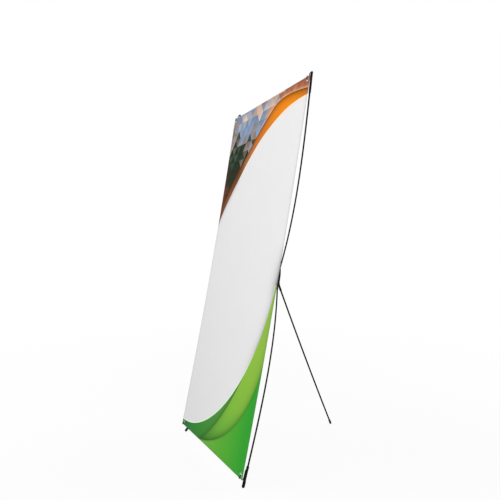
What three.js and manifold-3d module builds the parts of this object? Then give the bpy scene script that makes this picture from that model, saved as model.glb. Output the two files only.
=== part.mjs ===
// X banner stand: a small hub carries four bowed rods and a rear leg, and the rods
// stretch a printed sheet by its four corner eyelets.
// Millimetres. +Z is up, +X is to the right of someone who faces the print, +Y goes to the rear.
// The origin is on the floor, midway between the front of the sheet and the rear foot.
import * as THREE from 'three';
import { mergeVertices } from 'three/addons/utils/BufferGeometryUtils.js';
import Module from 'manifold-3d';

const wasm = await Module();
wasm.setup();

// Sheet
const sheetWidth = 600;
const sheetHeight = 1600;
const sheetThickness = 0.6;
const sheetSag = 9.5;
const sheetLean = THREE.MathUtils.degToRad(11.17);
const sheetBottomHeight = 38.6;
const sheetFlatEnd = 30;
const eyeletInset = 15;
const sheetToOrigin = 361.5;

// Eyelets
const eyeletHoleRadius = 3.9;
const eyeletBarrelWall = 0.5;
const eyeletFlangeRadius = 9.5;
const eyeletFlangeThickness = 1.1;
const washerRadius = 9;
const washerThickness = 0.8;

// Fits
const clearance = 0.3;
const overrun = 5;

// Rods and leg
const upperRodRadius = 3.5;
const lowerRodRadius = 3.5;
const legRodRadius = 3.9;
const upperBowAngle = THREE.MathUtils.degToRad(78.3);
const lowerBowAngle = THREE.MathUtils.degToRad(78.8);

// Hub, with places across the stand (X), behind the sheet's chord plane and up along the sheet
const upperPivotX = 12;
const lowerPivotX = 9;
const lowerPivotUp = 781;
const pivotRise = 28;
const lowerPivotBehind = 218.6;
const tongueThickness = 7.5;
const tongueRadius = 6.5;
const tongueGap = 0.25;
const hubPlateThickness = 1.6;
const hubTopHalfWidth = 20;
const hubBottomHalfWidth = 17.5;
const rearCoverTopHalfWidth = 16.5;
const rearCoverBottomHalfWidth = 18.3;
const rearCoverPeakHalfWidth = 9.5;
const rearCoverPeakRise = 34;
const hubCornerRadius = 5;
const hubTopMargin = 10.5;
const hubBottomMargin = 9.5;
const coverThickness = 1.8;
const frontCoverReach = 10.5;
const stopPostTipWidth = 0.36;
const stopPostDrop = 6;
const rearBossDrop = 9.5;
const rearBossHalfWidth = 16;

// Knuckle sockets
const socketRadius = 4.6;
const socketStart = 13;
const socketEnd = 30;
const rodInsertion = 15.5;

// Screws
const screwRadius = 2;
const screwHeadHeight = 1.8;
const screwHeadRadius = 3;
const frontScrewLength = 17;
const centreScrewLength = 9;
const centreScrewDrop = 5;

// Upper end caps, with a knob and a hook that takes the eyelet
const upperTipBehind = 15;
const upperTipAboveSheet = 21;
const capRadius = 4.9;
const capLength = 72;
const capEndWall = 8;
const knobRadius = 5.3;
const upperHookRootShare = 0.06;
const upperHookBowShare = 0.45;

// Lower end sleeves, with their hooks
const lowerTipOutset = 0.2;
const lowerTipBehind = 20;
const lowerTipBelowSheet = 30.9;
const sleeveRadius = 4.9;
const sleeveLength = 70;
const sleeveEndWall = 10;
const collarRadius = 5.7;
const collarLength = 8;
const lowerHookStraightShare = 0.6;

// Hooks
const hookRadius = 1.8;
const hookBendRadius = 4;
const hookBeadRadius = 2.3;
const hookTipLength = 7;
const hookStandOff = 7.2;
const hookSeatGap = 0.5;
const hookRiseBehind = 12.8;
const hookRiseDrop = 14.4;
const hookEntryBehind = 6;
const hookEntryDrop = 9.6;

// Rubber feet
const footRadius = 6.1;
const legFootHeight = 4.3;
const footLength = 20;
const footEndWall = 4;
const legFootRadius = 5.4;
const legFootLength = 20;

// Rear leg
const legPivotBehind = 230;
const legPivotUp = 782;
const legTongueRadius = 5;
const legTongueThickness = 6.2;
const legSocketRadius = 5.2;
const legSocketStart = 8;
const legSocketEnd = 40;
const earThickness = 2.1;
const earRadius = 5.5;
const legBoltRadius = 1.7;
const legBoltHeadRadius = 3;
const legBoltHeadThickness = 1.8;
const rearFootY = 724;
const legBow = 3.7;

// Facets
const rodSides = 10;
const rodSteps = 20;
const fittingSides = 12;
const fittingSteps = 5;
const socketSteps = 2;
const hookSides = 6;
const hookBendSteps = 4;
const upperHookSteps = 26;
const lowerHookSteps = 34;
const beadSides = 8;
const beadRings = 6;
const knobRings = 8;
const nutSides = 6;
const bootSteps = 5;
const cornerSteps = 4;
const ringSides = 16;
const sheetSteps = 20;

// Places that follow from the sizes above
const upperPivotUp = lowerPivotUp + pivotRise;
const halfTongue = tongueThickness / 2;
const plateRear = lowerPivotBehind - halfTongue - tongueGap;
const plateFront = plateRear - hubPlateThickness;
const upperPivotBehind = plateFront - tongueGap - halfTongue;
const frontCoverRear = upperPivotBehind - halfTongue - clearance;
const frontCoverFront = frontCoverRear - coverThickness;
const rearCoverFront = lowerPivotBehind + halfTongue + clearance;
const rearCoverRear = rearCoverFront + coverThickness;
const hubTop = upperPivotUp + hubTopMargin;
const hubBottom = lowerPivotUp - hubBottomMargin;
const eyeletX = sheetWidth / 2 - eyeletInset;
const upperTipX = eyeletX;
const lowerTipX = eyeletX + lowerTipOutset;
const screwHoleRadius = screwRadius + clearance;

// Finishes
const blackPlastic = { color: 0x161616, roughness: 0.45, metalness: 0 };
const blackRod = { color: 0x1b1b1d, roughness: 0.35, metalness: 0 };
const blackRubber = { color: 0x101010, roughness: 0.8, metalness: 0 };
const steel = { color: 0xb9bcc0, roughness: 0.3, metalness: 1 };
const clearPlastic = { color: 0xd4d4d2, roughness: 0.15, metalness: 0 };
const printedSheet = { color: 0xe8e8e6, roughness: 0.45, metalness: 0 };

const stand = new THREE.Group();
const leaning = new THREE.Group();
leaning.position.set(0, -sheetToOrigin, sheetBottomHeight);
leaning.rotation.x = -sheetLean;
stand.add(leaning);
stand.updateMatrixWorld(true);

const sides = [{ name: 'right', sign: 1 }, { name: 'left', sign: -1 }];

function addPiece(name, geometry, finish, parent) {
  const piece = new THREE.Mesh(geometry, new THREE.MeshStandardMaterial(finish));
  piece.name = name;
  parent.add(piece);
  return piece;
}

// Turns a closed geometry into a solid for cutting and joining.
function solidFrom(geometry) {
  const bare = geometry.clone();
  bare.deleteAttribute('normal');
  bare.deleteAttribute('uv');
  const merged = mergeVertices(bare);
  return new wasm.Manifold(new wasm.Mesh({
    numProp: 3,
    vertProperties: new Float32Array(merged.attributes.position.array),
    triVerts: new Uint32Array(merged.index.array),
  }));
}

function geometryFrom(solid) {
  const mesh = solid.getMesh();
  const geometry = new THREE.BufferGeometry();
  geometry.setAttribute('position', new THREE.BufferAttribute(new Float32Array(mesh.vertProperties), 3));
  geometry.setIndex(new THREE.BufferAttribute(new Uint32Array(mesh.triVerts), 1));
  geometry.computeVertexNormals();
  return geometry;
}

// Joins the first list of geometries and cuts the second list from them.
function shaped(joined, cut = []) {
  let solid = solidFrom(joined[0]);
  joined.slice(1).forEach((geometry) => {
    solid = solid.add(solidFrom(geometry));
  });
  cut.forEach((geometry) => {
    solid = solid.subtract(solidFrom(geometry));
  });
  return geometryFrom(solid);
}

function circle(radius, facets) {
  const points = [];
  for (let i = 0; i < facets; i += 1) {
    const angle = (2 * Math.PI * i) / facets;
    points.push(new THREE.Vector2(radius * Math.cos(angle), radius * Math.sin(angle)));
  }
  return new THREE.Shape(points);
}

function tube(path, radius, steps, facets) {
  return new THREE.ExtrudeGeometry(circle(radius, facets), { steps, extrudePath: path });
}

// A plate whose outline lies in the plane of the sheet, between two distances behind it.
function plate(outline, front, rear) {
  const geometry = new THREE.ExtrudeGeometry(outline, { depth: rear - front, bevelEnabled: false });
  geometry.rotateX(Math.PI / 2);
  geometry.translate(0, rear, 0);
  return geometry;
}

// A plain pin or hole square to the sheet.
function pin(radius, x, front, rear, up, facets = fittingSides) {
  const geometry = new THREE.CylinderGeometry(radius, radius, rear - front, facets);
  geometry.translate(x, (front + rear) / 2, up);
  return geometry;
}

function roundedOutline(corners, radius) {
  const outline = new THREE.Shape();
  corners.forEach((corner, i) => {
    const before = corners[(i + corners.length - 1) % corners.length];
    const after = corners[(i + 1) % corners.length];
    const into = before.clone().sub(corner).setLength(radius).add(corner);
    const out = after.clone().sub(corner).setLength(radius).add(corner);
    if (i === 0) {
      outline.moveTo(into.x, into.y);
    } else {
      outline.lineTo(into.x, into.y);
    }
    outline.quadraticCurveTo(corner.x, corner.y, out.x, out.y);
  });
  outline.closePath();
  return new THREE.Shape(outline.getPoints(cornerSteps));
}

// The hub's outline, with the points of its peak, if it has one, listed from right to left.
function hubOutline(topHalfWidth, bottomHalfWidth, peak = []) {
  return roundedOutline([
    new THREE.Vector2(-topHalfWidth, hubTop),
    new THREE.Vector2(-bottomHalfWidth, hubBottom),
    new THREE.Vector2(bottomHalfWidth, hubBottom),
    new THREE.Vector2(topHalfWidth, hubTop),
    ...peak,
  ], hubCornerRadius);
}

function block(left, right, bottom, top) {
  return new THREE.Shape([
    new THREE.Vector2(left, bottom),
    new THREE.Vector2(right, bottom),
    new THREE.Vector2(right, top),
    new THREE.Vector2(left, top),
  ]);
}

// One bowed rod from its pivot in the hub to its tip. Share 0 is the pivot and share 1 the tip.
function makeArm(pivot, tip, bowAngle, sign) {
  const length = Math.hypot(tip.x - pivot.x, tip.z - pivot.z);
  const slope = Math.sign(tip.z - pivot.z);
  return {
    sign,
    length,
    pivot: new THREE.Vector3(sign * pivot.x, pivot.y, pivot.z),
    splay: Math.atan2(tip.x - pivot.x, Math.abs(tip.z - pivot.z)),
    slope,
    at(distance) {
      const share = distance / length;
      const bow = Math.sin(bowAngle * (1 - share)) / Math.sin(bowAngle);
      return new THREE.Vector3(
        sign * THREE.MathUtils.lerp(pivot.x, tip.x, share),
        tip.y + (pivot.y - tip.y) * bow,
        THREE.MathUtils.lerp(pivot.z, tip.z, share),
      );
    },
  };
}

// Part of a bar that says where it is at each distance from its pivot.
class RodStretch extends THREE.Curve {
  constructor(bar, from, to) {
    super();
    this.bar = bar;
    this.from = from;
    this.to = to;
  }

  getPoint(share, target = new THREE.Vector3()) {
    return target.copy(this.bar.at(THREE.MathUtils.lerp(this.from, this.to, share)));
  }
}

const upperPivot = new THREE.Vector3(upperPivotX, upperPivotBehind, upperPivotUp);
const upperTip = new THREE.Vector3(upperTipX, upperTipBehind, sheetHeight + upperTipAboveSheet);
const lowerPivot = new THREE.Vector3(lowerPivotX, lowerPivotBehind, lowerPivotUp);
const lowerTip = new THREE.Vector3(lowerTipX, lowerTipBehind, -lowerTipBelowSheet);
const upperSplay = Math.atan2(upperTipX - upperPivotX, upperTip.z - upperPivotUp);
const lowerSplay = Math.atan2(lowerTipX - lowerPivotX, lowerPivotUp - lowerTip.z);

// Hub plate: the middle layer, with the stops that hold the rods at their splay.
function makeHubPlate() {
  const wedgeFoot = upperPivotX - tongueRadius / Math.cos(upperSplay) - clearance;
  const wedgeTop = wedgeFoot + Math.tan(upperSplay) * (hubTop - upperPivotUp);
  const frontStop = new THREE.Shape([
    new THREE.Vector2(-wedgeFoot, upperPivotUp),
    new THREE.Vector2(wedgeFoot, upperPivotUp),
    new THREE.Vector2(wedgeTop, hubTop),
    new THREE.Vector2(-wedgeTop, hubTop),
  ]);
  const bossBottom = upperPivotUp - rearBossDrop;
  const joined = [
    plate(hubOutline(hubTopHalfWidth, hubBottomHalfWidth), plateFront, plateRear),
    plate(frontStop, frontCoverRear + clearance, plateFront + clearance),
    plate(block(-rearBossHalfWidth, rearBossHalfWidth, bossBottom, hubTop - clearance),
      plateRear - clearance, rearCoverFront - clearance),
  ];
  const cut = [
    pin(screwHoleRadius, 0, frontCoverFront, plateFront + centreScrewLength, hubTop - centreScrewDrop),
    pin(screwHoleRadius, 0, plateRear + clearance, rearCoverRear, bossBottom + centreScrewDrop),
  ];
  sides.forEach(({ sign }) => {
    const postInner = lowerPivotX + tongueRadius / Math.cos(lowerSplay) + clearance;
    const drift = Math.tan(lowerSplay) * stopPostDrop;
    const postOuter = postInner + drift + stopPostTipWidth;
    const post = new THREE.Shape([
      new THREE.Vector2(sign * postInner, lowerPivotUp),
      new THREE.Vector2(sign * (postInner + drift), lowerPivotUp - stopPostDrop),
      new THREE.Vector2(sign * postOuter, lowerPivotUp - stopPostDrop),
      new THREE.Vector2(sign * postOuter, lowerPivotUp + stopPostDrop),
      new THREE.Vector2(sign * postInner, lowerPivotUp + stopPostDrop),
    ]);
    joined.push(plate(post, plateRear - clearance, rearCoverFront - clearance));
    cut.push(pin(screwHoleRadius, sign * upperPivotX, frontCoverFront,
      frontCoverFront + frontScrewLength + clearance, upperPivotUp));
    cut.push(pin(screwHoleRadius, sign * lowerPivotX, frontCoverFront, rearCoverRear, lowerPivotUp));
  });
  return shaped(joined, cut);
}

function makeFrontCover() {
  const bottom = upperPivotUp - frontCoverReach;
  const outline = roundedOutline([
    new THREE.Vector2(-hubTopHalfWidth, hubTop),
    new THREE.Vector2(-hubTopHalfWidth, bottom),
    new THREE.Vector2(hubTopHalfWidth, bottom),
    new THREE.Vector2(hubTopHalfWidth, hubTop),
  ], hubCornerRadius);
  const cut = [pin(screwHoleRadius, 0, frontCoverFront - overrun, frontCoverRear + overrun,
    hubTop - centreScrewDrop)];
  sides.forEach(({ sign }) => {
    cut.push(pin(screwHoleRadius, sign * upperPivotX, frontCoverFront - overrun,
      frontCoverRear + overrun, upperPivotUp));
  });
  return shaped([plate(outline, frontCoverFront, frontCoverRear)], cut);
}

const earInner = legTongueThickness / 2 + clearance;
const earOuter = earInner + earThickness;

// Rear cover: closes the lower rods' layer, rises to a peak behind the upper rods, and carries
// the two ears of the leg's pivot.
function makeRearCover() {
  const peak = [
    new THREE.Vector2(rearCoverPeakHalfWidth, hubTop + rearCoverPeakRise),
    new THREE.Vector2(-rearCoverPeakHalfWidth, hubTop + rearCoverPeakRise),
  ];
  const joined = [plate(hubOutline(rearCoverTopHalfWidth, rearCoverBottomHalfWidth, peak),
    rearCoverFront, rearCoverRear)];
  const cut = [pin(screwHoleRadius, 0, rearCoverFront - overrun, rearCoverRear + overrun,
    upperPivotUp - rearBossDrop + centreScrewDrop)];
  const boltHole = new THREE.CylinderGeometry(legBoltRadius + clearance, legBoltRadius + clearance,
    2 * (earOuter + overrun), fittingSides);
  boltHole.rotateZ(Math.PI / 2);
  boltHole.translate(0, legPivotBehind, legPivotUp);
  sides.forEach(({ sign }) => {
    const disc = new THREE.CylinderGeometry(earRadius, earRadius, earThickness, ringSides);
    disc.rotateZ(Math.PI / 2);
    disc.translate(sign * (earInner + earThickness / 2), legPivotBehind, legPivotUp);
    const depth = legPivotBehind - rearCoverRear + clearance;
    const root = new THREE.BoxGeometry(earThickness, depth, 2 * earRadius);
    root.translate(sign * (earInner + earThickness / 2), legPivotBehind - depth / 2, legPivotUp);
    joined.push(disc, root);
    cut.push(pin(screwHoleRadius, sign * lowerPivotX, rearCoverFront - overrun,
      rearCoverRear + overrun, lowerPivotUp));
  });
  cut.push(boltHole);
  return shaped(joined, cut);
}

// A pan-head screw square to the sheet. Facing -1 has its head in front, 1 behind.
function makeScrew(x, seat, up, length, facing) {
  const profile = [
    new THREE.Vector2(0, -length),
    new THREE.Vector2(screwRadius, -length),
    new THREE.Vector2(screwRadius, clearance),
    new THREE.Vector2(screwHeadRadius, clearance),
    new THREE.Vector2(screwHeadRadius, clearance + screwHeadHeight / 2),
    new THREE.Vector2(screwHeadRadius / 2, clearance + screwHeadHeight),
    new THREE.Vector2(0, clearance + screwHeadHeight),
  ];
  const geometry = new THREE.LatheGeometry(profile, fittingSides);
  if (facing < 0) {
    geometry.rotateX(Math.PI);
  }
  geometry.translate(x, seat, up);
  return shaped([geometry]);
}

// Knuckle: a flat tongue on the pivot screw, and a round socket for the rod.
function makeKnuckle(arm, rodRadius) {
  const along = new THREE.Vector2(arm.sign * Math.sin(arm.splay), arm.slope * Math.cos(arm.splay));
  const across = new THREE.Vector2(along.y, -along.x);
  const centre = new THREE.Vector2(arm.pivot.x, arm.pivot.z);
  const reach = socketStart + socketRadius;
  const neck = [
    centre.clone().addScaledVector(across, socketRadius),
    centre.clone().addScaledVector(across, -socketRadius),
    centre.clone().addScaledVector(across, -socketRadius).addScaledVector(along, reach),
    centre.clone().addScaledVector(across, socketRadius).addScaledVector(along, reach),
  ];
  const front = arm.pivot.y - halfTongue;
  const rear = arm.pivot.y + halfTongue;
  const joined = [
    pin(tongueRadius, arm.pivot.x, front, rear, arm.pivot.z, ringSides),
    plate(new THREE.Shape(neck), front, rear),
    tube(new RodStretch(arm, socketStart, socketEnd), socketRadius, socketSteps, fittingSides),
  ];
  const cut = [
    pin(screwHoleRadius, arm.pivot.x, front - overrun, rear + overrun, arm.pivot.z),
    tube(new RodStretch(arm, rodInsertion - clearance, socketEnd + overrun), rodRadius + clearance,
      socketSteps, rodSides),
  ];
  return shaped(joined, cut);
}

// The hook's bend goes through the eyelet from behind and turns back in front of the sheet.
// Outward is 1 where the hook comes from above the eyelet, and -1 where it comes from below.
function hookBend(x, eyeletUp, outward) {
  const seat = eyeletUp + outward * (eyeletHoleRadius - hookSeatGap - hookRadius);
  const points = [];
  for (let i = 0; i <= hookBendSteps; i += 1) {
    const angle = (Math.PI * i) / hookBendSteps;
    points.push(new THREE.Vector3(
      x,
      hookBendRadius * Math.cos(angle),
      seat + outward * hookBendRadius * (1 - Math.sin(angle)),
    ));
  }
  points.push(new THREE.Vector3(x, -hookBendRadius - hookRadius / 2,
    seat + outward * (hookBendRadius + hookTipLength)));
  return points;
}

function makeHook(points, steps) {
  const path = new THREE.CatmullRomCurve3(points, false, 'centripetal');
  const bead = new THREE.SphereGeometry(hookBeadRadius, beadSides, beadRings);
  const end = points[points.length - 1];
  bead.translate(end.x, end.y, end.z);
  return [tube(path, hookRadius, steps, hookSides), bead];
}

function makeUpperCap(arm) {
  const knob = new THREE.SphereGeometry(knobRadius, fittingSides, knobRings);
  const tip = arm.at(arm.length);
  knob.translate(tip.x, tip.y, tip.z);
  const eyeletUp = sheetHeight - eyeletInset;
  const x = arm.sign * eyeletX;
  const bend = hookBend(x, eyeletUp, 1);
  const drop = tip.z - bend[0].z;
  const points = [
    tip,
    new THREE.Vector3(x, tip.y - knobRadius, tip.z - drop * upperHookRootShare),
    new THREE.Vector3(x, tip.y - 2 * knobRadius + hookRadius / 2, tip.z - drop * upperHookBowShare),
    ...bend,
  ];
  const joined = [
    tube(new RodStretch(arm, arm.length - capLength, arm.length), capRadius, fittingSteps, fittingSides),
    knob,
    ...makeHook(points, upperHookSteps),
  ];
  const cut = [tube(new RodStretch(arm, arm.length - capLength - overrun, arm.length - capEndWall),
    upperRodRadius + clearance, fittingSteps, rodSides)];
  return shaped(joined, cut);
}

function makeLowerSleeve(arm) {
  const end = arm.length - footEndWall - clearance;
  const start = arm.length - sleeveLength;
  const forward = (distance, offset) => arm.at(distance).add(new THREE.Vector3(0, -offset, 0));
  const x = arm.sign * eyeletX;
  const bend = hookBend(x, eyeletInset, -1);
  const bottom = arm.length - footLength - hookRadius - hookStandOff / 2;
  const points = [
    arm.at(start + collarLength / 2),
    forward(start + collarLength + hookStandOff, hookStandOff),
    forward(THREE.MathUtils.lerp(start, bottom, lowerHookStraightShare), hookStandOff),
    forward(bottom, hookStandOff + hookRadius / 2),
    new THREE.Vector3(x, hookRiseBehind, bend[0].z - hookRiseDrop),
    new THREE.Vector3(x, hookEntryBehind, bend[0].z - hookEntryDrop),
    ...bend,
  ];
  const joined = [
    tube(new RodStretch(arm, start, end), sleeveRadius, fittingSteps, fittingSides),
    tube(new RodStretch(arm, start, start + collarLength), collarRadius, 1, fittingSides),
    ...makeHook(points, lowerHookSteps),
  ];
  const cut = [tube(new RodStretch(arm, start - overrun, arm.length - sleeveEndWall - footEndWall),
    lowerRodRadius + clearance, fittingSteps, rodSides)];
  return shaped(joined, cut);
}

// A rubber boot on a rod's end, along its own +Y, round at the end and open at the other.
function boot(radius, bore, length, endWall) {
  const profile = [new THREE.Vector2(0, radius)];
  for (let i = 1; i <= bootSteps; i += 1) {
    const angle = (Math.PI / 2) * (1 - i / bootSteps);
    profile.push(new THREE.Vector2(radius * Math.cos(angle), radius * Math.sin(angle)));
  }
  profile.push(
    new THREE.Vector2(radius, -length + clearance),
    new THREE.Vector2(radius - clearance, -length),
    new THREE.Vector2(bore, -length),
    new THREE.Vector2(bore, -endWall),
    new THREE.Vector2(0, -endWall),
  );
  return new THREE.LatheGeometry(profile.reverse(), ringSides);
}

// Cuts a piece flat where it stands on the floor. The geometry is in the stand's own frame.
function cutAtFloor(geometry) {
  const reach = 4 * footRadius;
  const ground = new THREE.BoxGeometry(reach, reach, reach);
  geometry.computeBoundingBox();
  const centre = geometry.boundingBox.getCenter(new THREE.Vector3());
  ground.translate(centre.x, centre.y, -reach / 2);
  return shaped([geometry], [ground]);
}

// A boot on the end of a bar, in the frame of that bar.
function bootOn(bar, radius, bore, length) {
  const tip = bar.at(bar.length);
  const direction = tip.clone().sub(bar.at(bar.length - length)).normalize();
  const geometry = boot(radius, bore, length, footEndWall);
  geometry.applyQuaternion(new THREE.Quaternion().setFromUnitVectors(
    new THREE.Vector3(0, 1, 0), direction));
  return geometry.translate(tip.x, tip.y, tip.z);
}

function makeLowerFoot(arm) {
  const geometry = bootOn(arm, footRadius, sleeveRadius + clearance, footLength);
  return cutAtFloor(geometry.applyMatrix4(leaning.matrixWorld));
}

const arms = {
  upper: sides.map(({ sign }) => makeArm(upperPivot, upperTip, upperBowAngle, sign)),
  lower: sides.map(({ sign }) => makeArm(lowerPivot, lowerTip, lowerBowAngle, sign)),
};

addPiece('hub_plate', makeHubPlate(), blackPlastic, leaning);
addPiece('hub_front_cover', makeFrontCover(), blackPlastic, leaning);
addPiece('hub_rear_cover', makeRearCover(), blackPlastic, leaning);
addPiece('cover_screw_front', makeScrew(0, frontCoverFront, hubTop - centreScrewDrop,
  centreScrewLength, -1), steel, leaning);
addPiece('cover_screw_rear', makeScrew(0, rearCoverRear, upperPivotUp - rearBossDrop + centreScrewDrop,
  centreScrewLength, 1), steel, leaning);

sides.forEach(({ name, sign }, i) => {
  const upper = arms.upper[i];
  const lower = arms.lower[i];
  addPiece(`pivot_screw_upper_${name}`, makeScrew(sign * upperPivotX, frontCoverFront, upperPivotUp,
    frontScrewLength, -1), steel, leaning);
  addPiece(`pivot_screw_lower_${name}`, makeScrew(sign * lowerPivotX, rearCoverRear, lowerPivotUp,
    rearCoverRear - plateFront - clearance, 1), steel, leaning);
  addPiece(`knuckle_upper_${name}`, makeKnuckle(upper, upperRodRadius), blackPlastic, leaning);
  addPiece(`knuckle_lower_${name}`, makeKnuckle(lower, lowerRodRadius), blackPlastic, leaning);
  addPiece(`rod_upper_${name}`, shaped([tube(
    new RodStretch(upper, rodInsertion, upper.length - capEndWall - clearance),
    upperRodRadius, rodSteps, rodSides)]), blackRod, leaning);
  addPiece(`rod_lower_${name}`, shaped([tube(
    new RodStretch(lower, rodInsertion, lower.length - sleeveEndWall - footEndWall - clearance),
    lowerRodRadius, rodSteps, rodSides)]), blackRod, leaning);
  addPiece(`hook_cap_upper_${name}`, makeUpperCap(upper), blackPlastic, leaning);
  addPiece(`hook_sleeve_lower_${name}`, makeLowerSleeve(lower), blackPlastic, leaning);
  addPiece(`foot_${name}`, makeLowerFoot(lower), blackRubber, stand);
});

// Rear leg, made along its own +Y from the pivot to the foot, and bowed a little to the front.
const legPivot = new THREE.Vector3(0, legPivotBehind, legPivotUp).applyMatrix4(leaning.matrixWorld);
const legFoot = new THREE.Vector3(0, rearFootY - sheetToOrigin, legFootHeight);
const legLength = legPivot.distanceTo(legFoot);
const legDirection = legFoot.clone().sub(legPivot).normalize();
const leg = {
  length: legLength,
  at(distance) {
    const share = distance / legLength;
    return new THREE.Vector3(0, distance, -4 * legBow * share * (1 - share));
  },
};

function placeOnLeg(geometry) {
  geometry.applyQuaternion(new THREE.Quaternion().setFromUnitVectors(
    new THREE.Vector3(0, 1, 0), legDirection));
  geometry.translate(legPivot.x, legPivot.y, legPivot.z);
  return geometry;
}

function makeLegKnuckle() {
  const tongue = new THREE.CylinderGeometry(legTongueRadius, legTongueRadius, legTongueThickness,
    ringSides);
  tongue.rotateZ(Math.PI / 2);
  const neck = new THREE.BoxGeometry(legTongueThickness, legSocketStart + legTongueRadius,
    2 * legTongueRadius - clearance);
  neck.translate(0, (legSocketStart + legTongueRadius) / 2, 0);
  const boltHole = new THREE.CylinderGeometry(legBoltRadius + clearance, legBoltRadius + clearance,
    legTongueThickness + 2 * overrun, fittingSides);
  boltHole.rotateZ(Math.PI / 2);
  const socket = tube(new RodStretch(leg, legSocketStart, legSocketEnd), legSocketRadius, socketSteps,
    fittingSides);
  const bore = tube(new RodStretch(leg, rodInsertion - clearance, legSocketEnd + overrun),
    legRodRadius + clearance, socketSteps, rodSides);
  return placeOnLeg(shaped([tongue, neck, socket], [boltHole, bore]));
}

addPiece('leg_knuckle', makeLegKnuckle(), blackPlastic, stand);
addPiece('leg_rod', placeOnLeg(shaped([tube(
  new RodStretch(leg, rodInsertion, legLength - footEndWall - clearance),
  legRodRadius, rodSteps, rodSides)])), blackRod, stand);
addPiece('leg_foot', cutAtFloor(placeOnLeg(bootOn(leg, legFootRadius, legRodRadius + clearance,
  legFootLength))), blackRubber, stand);

// The leg's bolt lies across the ears, with its head on the right and a nut on the left.
function makeLegBolt() {
  const left = -earOuter - 2 * clearance - legBoltHeadThickness;
  const right = earOuter + clearance + legBoltHeadThickness / 2;
  const shank = new THREE.CylinderGeometry(legBoltRadius, legBoltRadius, right - left, fittingSides);
  shank.rotateZ(Math.PI / 2);
  shank.translate((left + right) / 2, 0, 0);
  const head = new THREE.CylinderGeometry(legBoltHeadRadius, legBoltHeadRadius, legBoltHeadThickness,
    fittingSides);
  head.rotateZ(Math.PI / 2);
  head.translate(earOuter + clearance + legBoltHeadThickness / 2, 0, 0);
  return shaped([shank, head]).translate(0, legPivotBehind, legPivotUp);
}

function makeLegNut() {
  const nut = new THREE.CylinderGeometry(legBoltHeadRadius, legBoltHeadRadius, legBoltHeadThickness,
    nutSides);
  const bore = new THREE.CylinderGeometry(legBoltRadius + clearance, legBoltRadius + clearance,
    legBoltHeadThickness + 2 * overrun, fittingSides);
  return shaped([nut], [bore]).rotateZ(Math.PI / 2).translate(
    -earOuter - clearance - legBoltHeadThickness / 2, legPivotBehind, legPivotUp);
}

addPiece('leg_bolt', makeLegBolt(), steel, leaning);
addPiece('leg_nut', makeLegNut(), steel, leaning);

// Sheet: it sags to the rear between its lower and upper eyelets.
function sheetBehind(up) {
  const share = THREE.MathUtils.clamp((up - sheetFlatEnd) / (sheetHeight - 2 * sheetFlatEnd), 0, 1);
  return 4 * sheetSag * share * (1 - share);
}

function makeSheet() {
  const ups = [0];
  for (let i = 0; i <= sheetSteps; i += 1) {
    ups.push(THREE.MathUtils.lerp(sheetFlatEnd, sheetHeight - sheetFlatEnd, i / sheetSteps));
  }
  ups.push(sheetHeight);
  const half = sheetThickness / 2;
  const front = ups.map((up) => new THREE.Vector2(sheetBehind(up) - half, up));
  const rear = ups.map((up) => new THREE.Vector2(sheetBehind(up) + half, up)).reverse();
  const geometry = new THREE.ExtrudeGeometry(new THREE.Shape([...rear, ...front]),
    { depth: sheetWidth, bevelEnabled: false });
  geometry.applyMatrix4(new THREE.Matrix4().makeBasis(
    new THREE.Vector3(0, 1, 0), new THREE.Vector3(0, 0, 1), new THREE.Vector3(1, 0, 0)));
  geometry.translate(-sheetWidth / 2, 0, 0);
  const holeRadius = eyeletHoleRadius + eyeletBarrelWall + clearance;
  const holes = [];
  sides.forEach(({ sign }) => {
    [eyeletInset, sheetHeight - eyeletInset].forEach((up) => {
      holes.push(pin(holeRadius, sign * eyeletX, -overrun, overrun, up, ringSides));
    });
  });
  return shaped([geometry], holes);
}

// Eyelet: a flange in front with a barrel through the sheet, and a washer behind.
function makeEyelet(x, up) {
  const face = -sheetThickness / 2 - clearance;
  const barrelEnd = sheetThickness / 2 + clearance + washerThickness;
  const barrel = eyeletHoleRadius + eyeletBarrelWall;
  const profile = [
    new THREE.Vector2(eyeletHoleRadius, face - eyeletFlangeThickness / 2),
    new THREE.Vector2(eyeletHoleRadius + eyeletFlangeThickness / 2, face - eyeletFlangeThickness),
    new THREE.Vector2(eyeletFlangeRadius - eyeletFlangeThickness, face - eyeletFlangeThickness),
    new THREE.Vector2(eyeletFlangeRadius, face),
    new THREE.Vector2(barrel, face),
    new THREE.Vector2(barrel, barrelEnd),
    new THREE.Vector2(eyeletHoleRadius, barrelEnd),
    new THREE.Vector2(eyeletHoleRadius, face - eyeletFlangeThickness / 2),
  ];
  return shaped([new THREE.LatheGeometry(profile, ringSides).translate(x, 0, up)]);
}

function makeWasher(x, up) {
  const face = sheetThickness / 2 + clearance;
  const inner = eyeletHoleRadius + eyeletBarrelWall + clearance;
  const profile = [
    new THREE.Vector2(inner, face),
    new THREE.Vector2(washerRadius, face),
    new THREE.Vector2(washerRadius - washerThickness / 2, face + washerThickness),
    new THREE.Vector2(inner, face + washerThickness),
    new THREE.Vector2(inner, face),
  ];
  return shaped([new THREE.LatheGeometry(profile, ringSides).translate(x, 0, up)]);
}

addPiece('banner_sheet', makeSheet(), printedSheet, leaning);
sides.forEach(({ name, sign }) => {
  [['lower', eyeletInset], ['upper', sheetHeight - eyeletInset]].forEach(([level, up]) => {
    addPiece(`eyelet_${level}_${name}`, makeEyelet(sign * eyeletX, up), clearPlastic, leaning);
    addPiece(`eyelet_washer_${level}_${name}`, makeWasher(sign * eyeletX, up), clearPlastic, leaning);
  });
});

export default stand;
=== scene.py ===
import math

import bpy
from mathutils import Matrix, Vector


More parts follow.
